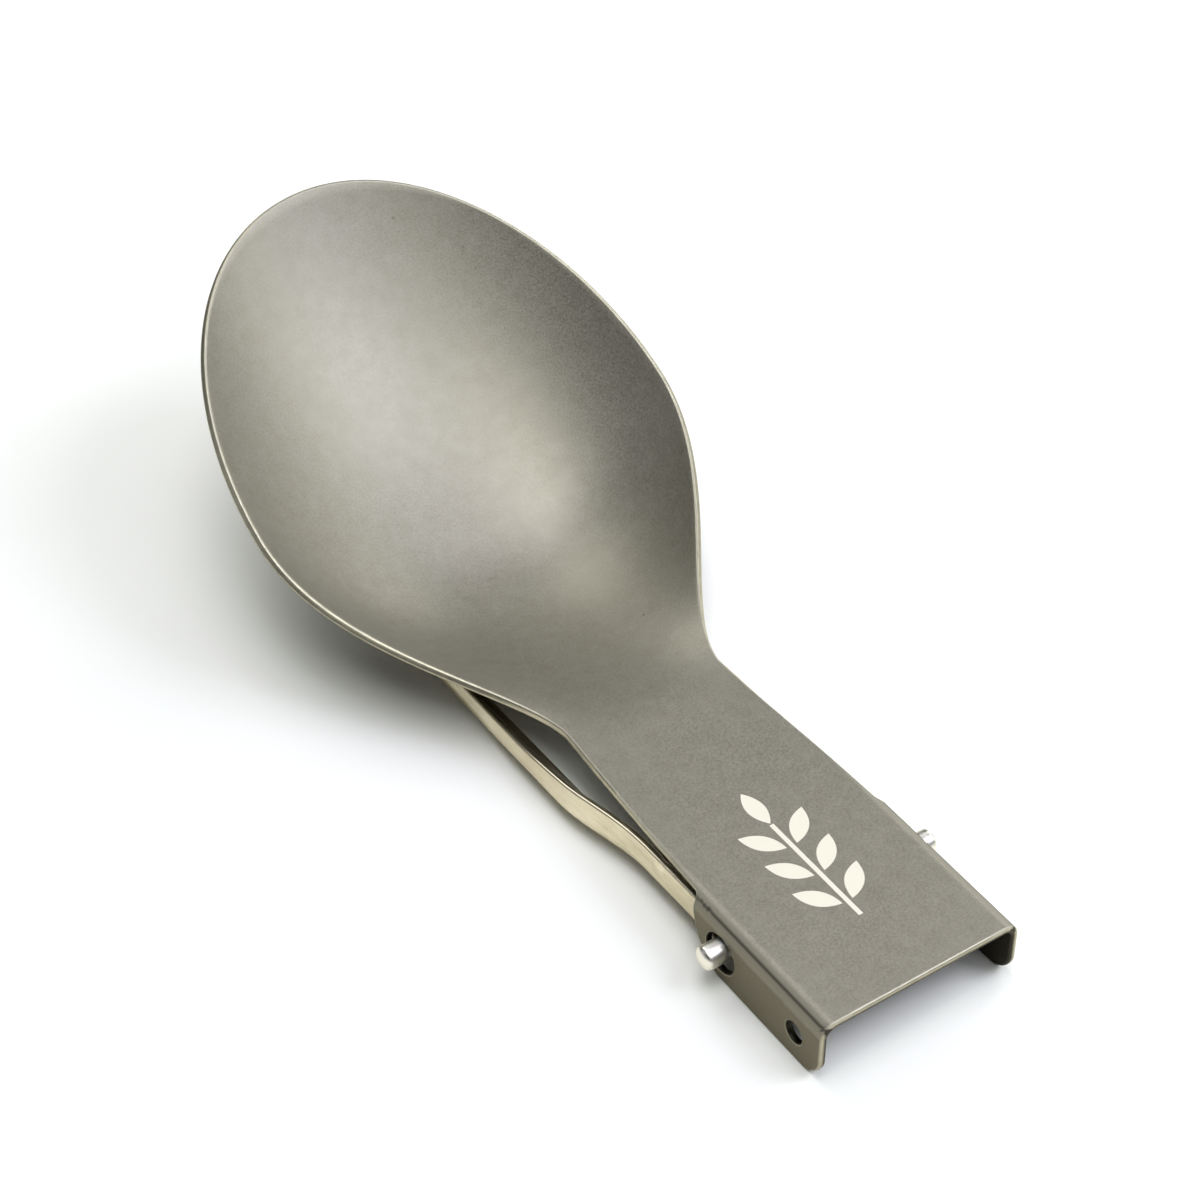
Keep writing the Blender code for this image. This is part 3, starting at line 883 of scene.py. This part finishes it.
    def shaded_recesses(self, points: np.ndarray) -> np.ndarray:
        """Finds where a painted shade goes: the channel's inside, fading out in front, and the holes' walls.

        Args:
            points: Places from the shank's square end and the plate's top.

        Returns:
            1 for such points and 0 for others.
        """
        across, along, height = np.abs(points[:, 0]), points[:, 1], points[:, 2]
        half_sheet = self.sheet.thickness / 2
        inside = (across < self.shank_half_width - half_sheet) & (height < -half_sheet)
        share = inside * (1.0 - smoothstep((along - self.flange_straight) / self.bend_fade_run))
        for place, drop, radius in (self.pin_opening, self.snap_hole):
            away = np.hypot(along - place, height + drop)
            share = np.maximum(share, away < radius + self.sheet.edge_radius * self.hole_wall)
        return share

    def on_bend(self, points: np.ndarray) -> np.ndarray:
        """Finds the two bends between the plate and its flanges.

        Args:
            points: Places from the shank's square end and the plate's top.

        Returns:
            True for points on the bends or within a bend's radius of them.
        """
        across = np.abs(points[:, 0]) > self.flat_half_width - self.bend_radius
        along = points[:, 1] < self.flange_front + self.bend_fade_run
        return across & along & (points[:, 2] > -2.0 * self.bend_radius)

    def build(self) -> bpy.types.Object:
        """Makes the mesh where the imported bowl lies.

        Returns:
            The bowl and shank.
        """
        low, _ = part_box("bowl_with_shank")
        upper, quads = self.blank().folded(self.fold)
        quads = quads[:, ::-1]
        middle = upper - surface_normals(upper, quads) * self.sheet.thickness / 2
        points, faces, wear = self.sheet.solid(middle, quads)
        # The second share marks the painted shade of the channel's inside and the holes' walls.
        shares = {"edge": wear, "recess_shade": self.shaded_recesses(points), "bend": self.on_bend(points)}
        points += (0.0, low[1], low[2] + self.flange_depth)
        return place_mesh("bowl_and_shank", points, faces.tolist(), shares)

    def dress(self, piece: bpy.types.Object) -> None:
        """Gives the piece its finish and its place in the record.

        Args:
            piece: The bowl and shank.
        """
        piece.data.materials.append(BlastedTitanium().material(EtchedSprig()))
        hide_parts("bowl_with_shank")
        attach(piece, "spoon_body")


@dataclass(frozen=True)
class LoopHandle:
    """The folded loop handle: ledge, raised wall, two ears and a cut-out, with lengths from the pin."""

    sheet: SheetMetal = SheetMetal(edge_radius=0.0002)
    length: float = 0.0760
    half_width: float = 0.0107
    narrow: float = 0.0091
    widens: float = 0.0118
    wide: float = 0.0225
    end_run: float = 0.0130
    bend: float = 0.0012
    ledge: float = 0.0025
    cutout_start: float = 0.0085
    cutout_corner: float = 0.0030
    end_ledge: float = 0.0034
    plate_start: float = 0.0024
    wall_top: float = 0.0014
    wall_top_end: float = 0.0002
    wall_drop_start: float = 0.0108
    wall_drop_end: float = 0.0300
    wall_lean: float = 0.42
    ear_radius: float = 0.0020
    ear_slope_run: float = 0.0040
    bore_radius: float = 0.0012
    dimple: Triple = (0.00985, 0.0005, 0.00015)
    dimple_radius: float = 0.0008
    far_end_drop: float = 0.0013
    far_end_reach: float = 0.0748
    ledge_steps: int = 6
    bend_steps: int = 6
    wall_steps: int = 9
    web_steps: int = 28
    ear_steps: int = 4
    near_rows: int = 45
    side_rows: int = 110
    end_rows: int = 34
    ear_top_points: int = 10
    ear_round_points: int = 26
    ear_foot_points: int = 12
    dimple_steepness: float = 2.0

    @property
    def rest_angle(self) -> float:
        """How far the folded handle slopes down, so that its far end lies on the ground."""
        return math.asin(self.far_end_drop / self.far_end_reach)

    @property
    def bend_radius(self) -> float:
        """The bend's radius on the middle surface."""
        return self.bend - self.sheet.thickness / 2

    @property
    def bend_length(self) -> float:
        """The bend's quarter turn on the middle surface."""
        return self.bend_radius * math.pi / 2

    def widening(self, along: np.ndarray) -> np.ndarray:
        """How far the handle has come from its narrow root, 0, to its wide loop, 1."""
        return smoothstep(between(along, self.widens, self.wide))

    def half_width_at(self, along: np.ndarray) -> np.ndarray:
        """Half the width beside the length: narrow, then a smooth step to the full width."""
        return self.narrow + (self.half_width - self.narrow) * self.widening(along)

    def wall_height(self, along: np.ndarray) -> np.ndarray:
        """The wall's top above the pin's axis: ear, slope, level wall, drop and low wall at the far end."""
        ear = smoothstep(along / self.ear_slope_run)
        near = self.ear_radius + (self.wall_top - self.ear_radius) * ear
        drop = smoothstep(between(along, self.wall_drop_start, self.wall_drop_end))
        return near + (self.wall_top_end - self.wall_top) * drop

    def run_to_height(self, height: np.ndarray) -> np.ndarray:
        """Distance past the bend line that reaches a height: r acos((c - z) / r) in the bend, then straight.

        Args:
            height: Height of the middle surface over the pin's axis.

        Returns:
            The distance past the bend line.
        """
        centre = self.bend - self.ear_radius
        arc = self.bend_radius * np.arccos(np.clip((centre - height) / self.bend_radius, 0.0, 1.0))
        return np.where(height > centre, self.bend_length + height - centre, arc)

    def path(self) -> tuple[np.ndarray, np.ndarray, np.ndarray, np.ndarray]:
        """Follows the loop: up the right side, round the end as an ellipse, and down the left side.

        Returns:
            The outer edge, its outward direction, the cut-out's edge, and places along the length.
        """
        inset = self.sheet.edge_radius
        start = self.plate_start + inset
        corner_end = self.cutout_start + self.cutout_corner
        side_end = self.length - self.end_run
        near = np.linspace(start, corner_end, self.near_rows)
        side = np.concatenate([near, np.linspace(corner_end, side_end, self.side_rows)[1:-1]])
        turn = quarter_turn(self.end_rows)
        side_out = self.half_width_at(side)
        outer = np.concatenate([
            np.stack([side_out, side], axis=1),
            np.stack([self.half_width * np.cos(turn), side_end + self.end_run * np.sin(turn)], axis=1),
        ])
        inner_width = self.half_width - self.ledge + inset
        inner_run = self.end_run - self.end_ledge + inset
        inner = np.concatenate([
            np.stack([side_out - self.ledge + inset, side], axis=1),
            np.stack([inner_width * np.cos(turn), side_end + inner_run * np.sin(turn)], axis=1),
        ])
        tangent = unit(np.gradient(outer, axis=0))
        outward = np.stack([tangent[:, 1], -tangent[:, 0]], axis=1)
        outward[-1] = (0.0, 1.0)
        mirror = np.array([-1.0, 1.0])
        along = outer[:, 1]
        return (
            np.concatenate([outer, outer[-2::-1] * mirror]),
            np.concatenate([outward, outward[-2::-1] * mirror]),
            np.concatenate([inner, inner[-2::-1] * mirror]),
            np.concatenate([along, along[-2::-1]]),
        )

    def fold(self, blank: np.ndarray) -> np.ndarray:
        """Turns the wall up: out = r sin(v / r), up = r (1 - cos(v / r)), then leaning in where wide.

        Args:
            blank: Plan place of the bend line or floor, outward direction and distance past the bend line.

        Returns:
            Places on the middle surface, from the pin's axis.
        """
        base, outward, past = blank[:, :2], blank[:, 2:4], blank[:, 4]
        turn = np.clip(past / self.bend_radius, 0.0, math.pi / 2)
        out = self.bend_radius * np.sin(turn)
        straight = np.clip(past - self.bend_length, 0.0, None)
        up = self.bend_radius * (1.0 - np.cos(turn)) + straight
        height = self.sheet.thickness / 2 - self.ear_radius + up
        place, offset, proud = self.dimple
        away = np.hypot(base[:, 1] - place, height - offset) / self.dimple_radius
        out = out + proud * smoothstep((1.0 - away) * self.dimple_steepness) * (past > self.bend_length)
        out = out - self.wall_lean * self.widening(base[:, 1]) * straight
        plan = base + outward * out[:, None]
        return np.concatenate([plan, height[:, None]], axis=1)

    def blank(self) -> Blank:
        """Lays out the ledge and wall along the loop, the web behind the pin, and an ear round each bore.

        Returns:
            The blank, whose points carry plan place, outward direction and distance past the bend line.
        """
        outer, outward, inner, along = self.path()
        inset = self.sheet.edge_radius
        centre = self.bend - self.ear_radius
        bend_line = outer - outward * self.bend
        made = Blank(5)
        floor_share = np.linspace(0.0, 1.0, self.ledge_steps + 1)[None, :, None]
        floor = inner[:, None] + (bend_line - inner)[:, None] * floor_share
        directions = np.broadcast_to(outward[:, None], floor.shape)
        flat = np.concatenate([floor, directions, np.zeros(floor.shape[:2] + (1,))], axis=-1)
        bend_runs = np.concatenate([[inset], np.linspace(inset, self.bend_length, self.bend_steps + 1)[1:]])
        top = self.bend_length + self.wall_height(along) - inset - centre
        wall_share = np.linspace(0.0, 1.0, self.wall_steps + 1)[None, 1:]
        wall_runs = self.bend_length + (top - self.bend_length)[:, None] * wall_share
        runs = np.concatenate([np.broadcast_to(bend_runs, (len(along), len(bend_runs))), wall_runs], axis=1)
        lines = np.broadcast_to(bend_line[:, None], runs.shape + (2,))
        directions = np.broadcast_to(outward[:, None], runs.shape + (2,))
        raised = np.concatenate([lines, directions, runs[..., None]], axis=-1)
        index = made.add_points(np.concatenate([flat, raised], axis=1))
        made.add_grid(index)
        self.add_web(made, index[:, 0], inner, along)
        first_raised = self.ledge_steps + 1
        for side, row, order in ((Side.RIGHT, 0, 1), (Side.LEFT, len(along) - 1, -1)):
            self.add_ear(made, side, index[row, first_raised:], order)
        return made

    def add_web(self, made: Blank, edge: np.ndarray, inner: np.ndarray, along: np.ndarray) -> None:
        """Fills the floor between the two ledges behind the pin, up to the cut-out's rounded near end.

        A row k at width x lies at y = start + (end(x) - start) * k / K, where end(x) is the cut-out's edge.

        Args:
            made: The blank.
            edge: Point numbers of the ledge's inner edge along the loop.
            inner: Their plan places.
            along: Their places along the length.
        """
        inset = self.sheet.edge_radius
        start = along[0]
        corner_end = self.cutout_start + self.cutout_corner
        rows = int(np.argmin(np.abs(along[: len(along) // 2] - corner_end))) + 1
        half = inner[0, 0]
        across = half * np.cos(np.linspace(0.0, math.pi, self.web_steps + 1))[1:-1]
        radius = self.cutout_corner + inset
        beyond = np.clip(np.abs(across) - (half - radius), 0.0, radius)
        end = corner_end - np.sqrt(radius**2 - beyond**2)
        share = (along[:rows] - start) / (along[rows - 1] - start)
        y = start + (end - start)[None] * share[:, None]
        x = np.broadcast_to(across[None], y.shape)
        zero = np.zeros_like(y)
        points = np.stack([x, y, zero + 1.0, zero, zero], axis=-1)
        middle = made.add_points(points)
        left = edge[::-1][:rows]
        index = np.concatenate([edge[:rows, None], middle, left[:, None]], axis=1)
        made.add_grid(index[:, ::-1])

    def add_ear(self, made: Blank, side: Side, wall: np.ndarray, order: int) -> None:
        """Adds the ear in rings about its bore, from the wall's end, its top, the circle and its foot.

        Args:
            made: The blank.
            side: Which side of the spoon.
            wall: Point numbers up the wall's near end, from the bend line.
            order: 1 where the loop starts at this side, or -1 where it ends there.
        """
        inset = self.sheet.edge_radius
        start = self.plate_start + inset
        radius = self.ear_radius - inset
        foot = made.points[wall[0], 4]
        foot_height = self.fold(made.points[wall[:1]])[0, 2]
        top_along = np.linspace(start, 0.0, self.ear_top_points)[1:]
        top_run = self.run_to_height(self.wall_height(top_along) - inset)
        foot_turn = math.asin(-foot_height / radius)
        turn = np.linspace(math.pi / 2, math.pi + foot_turn, self.ear_round_points)[1:]
        circle = np.stack([radius * np.cos(turn), self.run_to_height(radius * np.sin(turn))], axis=1)
        circle[-1, 1] = foot
        foot_along = np.linspace(circle[-1, 0], start, self.ear_foot_points)[1:-1]
        edge = np.concatenate([
            np.stack([top_along, top_run], axis=1),
            circle,
            np.stack([foot_along, np.full_like(foot_along, foot)], axis=1),
        ])
        base = side.value * (self.narrow - self.bend)
        carried = np.array([side.value, 0.0])
        points = np.concatenate([
            np.full((len(edge), 1), base), edge[:, :1], np.tile(carried, (len(edge), 1)), edge[:, 1:],
        ], axis=1)
        loop = np.concatenate([wall, made.add_points(points)])
        heights = self.fold(made.points[loop])[:, 2]
        places = np.stack([made.points[loop, 1], heights], axis=1)
        rim = unit(places) * (self.bore_radius + inset)
        inner = made.points[loop].copy()
        inner[:, 1] = rim[:, 0]
        inner[:, 4] = self.run_to_height(rim[:, 1])
        if order < 0:
            loop, inner = loop[::-1], inner[::-1]
        made.add_rings(loop, inner, self.ear_steps)

    def build(self) -> bpy.types.Object:
        """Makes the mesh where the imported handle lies, folded under the bowl.

        Returns:
            The handle.
        """
        middle, quads = self.blank().folded(self.fold)
        turned = np.array(Matrix.Rotation(-self.rest_angle, 3, "X"))
        middle = middle @ turned.T + pin_middle()
        points, faces, wear = self.sheet.solid(middle, quads)
        return place_mesh("loop_handle", points, faces.tolist(), {"edge": wear})

    def dress(self, piece: bpy.types.Object) -> None:
        """Gives the piece its finish and its place in the record.

        Args:
            piece: The handle.
        """
        piece.data.materials.append(PolishedTitanium().material(pin_middle()))
        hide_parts("folding_handle")
        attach(piece, "handle_body")


@dataclass(frozen=True)
class CrossPin:
    """The polished pin through both ears and both flanges, with domed ends."""

    radius: float = 0.0011
    dome: float = 0.0006
    round_steps: int = 72
    dome_steps: int = 10
    length_steps: int = 12

    def build(self) -> bpy.types.Object:
        """Turns a profile about X: x = h - d + d cos(t), r = R sin(t) at the ends, straight between them.

        Returns:
            The pin.
        """
        low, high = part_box("pivot_pin")
        half = (high[0] - low[0]) / 2
        turn = quarter_turn(self.dome_steps + 1)
        end = half - self.dome * (1.0 - np.cos(turn))
        shaft = np.linspace(end[-1], -end[-1], self.length_steps + 1)[1:-1]
        x = np.concatenate([end, shaft, -end[::-1]])[1:-1]
        radius = np.concatenate([self.radius * np.sin(turn), np.full(len(shaft), self.radius)])
        radius = np.concatenate([radius, self.radius * np.sin(turn[::-1])])[1:-1]
        angle = np.linspace(0.0, 2.0 * math.pi, self.round_steps, endpoint=False)
        ring = np.stack([np.zeros_like(angle), np.cos(angle), np.sin(angle)], axis=1)
        axis = np.array([1.0, 0.0, 0.0])
        points = ring[None] * radius[:, None, None] + axis * x[:, None, None]
        points = np.concatenate([points.reshape(-1, 3), [axis * half], [-axis * half]]) + pin_middle()
        index = np.arange(len(x) * self.round_steps).reshape(len(x), -1)
        index = np.concatenate([index, index[:, :1]], axis=1)
        cells = np.stack([index[:-1, :-1], index[:-1, 1:], index[1:, 1:], index[1:, :-1]], axis=-1)
        first, last = len(points) - 2, len(points) - 1
        caps = [(first, a, b) for a, b in zip(index[0, :-1], index[0, 1:])]
        caps += [(last, b, a) for a, b in zip(index[-1, :-1], index[-1, 1:])]
        return place_mesh("cross_pin", points, cells[:, :, ::-1].reshape(-1, 4).tolist() + caps, {})

    def dress(self, piece: bpy.types.Object) -> None:
        """Gives the piece its finish and its place in the record.

        Args:
            piece: The pin.
        """
        piece.data.materials.append(PolishedSteel().material())
        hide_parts("pivot_pin")
        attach(piece, "handle_body")


@dataclass(frozen=True)
class SoftLamp:
    """A square soft lamp that looks at the spoon."""

    name: str
    direction: Triple
    watts: float
    tint: Triple = (1.0, 1.0, 1.0)
    distance: float = 0.65
    size: float = 0.3

    def build(self, centre: Vector) -> None:
        """Places the lamp.

        Args:
            centre: What it looks at.
        """
        light = bpy.data.lights.new(self.name, "AREA")
        light.shape = "SQUARE"
        light.size = self.size
        light.energy = self.watts
        light.color = self.tint
        made = add_object(self.name, light)
        away = Vector(self.direction).normalized()
        made.location = centre + away * self.distance
        made.rotation_euler = away.to_track_quat("Z", "Y").to_euler()


@dataclass(frozen=True)
class Studio:
    """A pale floor that fades into a pale backdrop, under soft lamps and a little light all round.

    The camera sees the floor in floor_colour. The metal sees it in floor_bounce, a warmer tone.
    """

    floor_half: float = 4.0
    floor_colour: Colour = (0.91, 0.93, 0.95, 1.0)
    floor_bounce: Colour = (0.86, 0.84, 0.74, 1.0)
    backdrop: Colour = (1.0, 1.0, 1.0, 1.0)
    all_round: Colour = (0.02, 0.02, 0.02, 1.0)
    fade: Pair = (0.16, 0.30)
    lamps: tuple[SoftLamp, ...] = (
        SoftLamp("right_front_low_lamp", (0.816, -0.338, 0.469), 0.96, (1.0, 1.0, 0.94)),
        SoftLamp("right_back_low_lamp", (0.816, 0.338, 0.469), 1.10, (1.0, 1.0, 0.93)),
        SoftLamp("front_lamp", (0.0, -0.669, 0.743), 0.62, (1.0, 0.99, 0.96)),
        SoftLamp("right_front_lamp", (0.473, -0.473, 0.743), 1.82, (0.91, 0.92, 1.0)),
        SoftLamp("back_lamp", (0.0, 0.669, 0.743), 1.01, (1.0, 1.0, 0.91)),
        SoftLamp("left_high_lamp", (-0.242, -0.242, 0.940), 1.22, (0.98, 1.0, 0.90)),
        SoftLamp("left_low_lamp", (-0.816, 0.338, 0.469), 0.16),
        SoftLamp("top_lamp", (0.0, 0.0, 1.0), 1.18, (1.0, 0.96, 1.0)),
    )

    def build(self, centre: Vector) -> None:
        """Makes the floor, the surroundings and the lamps.

        Args:
            centre: What the lamps look at.
        """
        self.build_floor()
        self.build_surroundings()
        for lamp in self.lamps:
            lamp.build(centre)

    def build_floor(self) -> None:
        """Lays the floor, whose paper fades into the backdrop away from the middle."""
        half = self.floor_half
        corners = [(-half, -half, 0.0), (half, -half, 0.0), (half, half, 0.0), (-half, half, 0.0)]
        mesh = bpy.data.meshes.new("floor")
        mesh.from_pydata(corners, [], [(0, 1, 2, 3)])
        floor = add_object("floor", mesh)
        paper, graph, spot = start_finish("pale_paper")
        seen = graph.add("LightPath").outputs["Is Camera Ray"]
        shown = graph.blend(seen, self.floor_bounce, self.floor_colour)
        paper_shader = graph.add("BsdfDiffuse", {"Color": shown})
        backdrop_shader = graph.add("Emission", {"Color": self.backdrop})
        faded = graph.math("MULTIPLY", seen, graph.ramp(graph.vector("LENGTH", spot), self.fade))
        inputs = {0: faded, 1: paper_shader.outputs[0], 2: backdrop_shader.outputs[0]}
        graph.add("OutputMaterial", {0: graph.add("MixShader", inputs).outputs[0]})
        mesh.materials.append(paper)
        floor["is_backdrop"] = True

    def build_surroundings(self) -> None:
        """Makes the world: the backdrop to the camera, and a little light all round to everything else."""
        world = bpy.data.worlds.new("surroundings")
        bpy.context.scene.world = world
        world.use_nodes = True
        graph = Graph(world.node_tree)
        seen = graph.add("LightPath").outputs["Is Camera Ray"]
        colour = graph.blend(seen, self.all_round, self.backdrop)
        shader = graph.add("Background", {"Color": colour, "Strength": 1.0})
        graph.add("OutputWorld", {0: shader.outputs[0]})


@dataclass(frozen=True)
class PhotoCamera:
    """The camera at the photograph's viewing angle."""

    position: Triple = (-0.11028, -0.16292, 0.18840)
    look: Triple = (0.4201, 0.6127, -0.6694)
    lens: float = 91.35
    sensor: float = 36.0
    nearest: float = 0.01
    farthest: float = 20.0

    def build(self) -> None:
        """Places the camera and makes it the scene's own."""
        data = bpy.data.cameras.new("photo_camera")
        data.lens = self.lens
        data.sensor_width = self.sensor
        data.clip_start = self.nearest
        data.clip_end = self.farthest
        made = add_object("photo_camera", data)
        made.location = self.position
        made.rotation_euler = (-Vector(self.look)).to_track_quat("Z", "Y").to_euler()
        bpy.context.scene.camera = made


def main() -> None:
    """Builds the spoon's pieces, the studio and the camera."""
    logging.basicConfig(level=logging.INFO, format="%(name)s: %(message)s")
    cad_low, cad_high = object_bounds()
    bpy.context.scene.view_settings.view_transform = "Standard"
    for assembly in (BowlAndShank(), LoopHandle(), CrossPin()):
        piece = assembly.build()
        assembly.dress(piece)
        LOG.info("%s: %d faces", piece.name, len(piece.data.polygons))
    centre = (cad_low + cad_high) / 2
    Studio().build(centre)
    PhotoCamera().build()


if __name__ == "__main__":
    main()
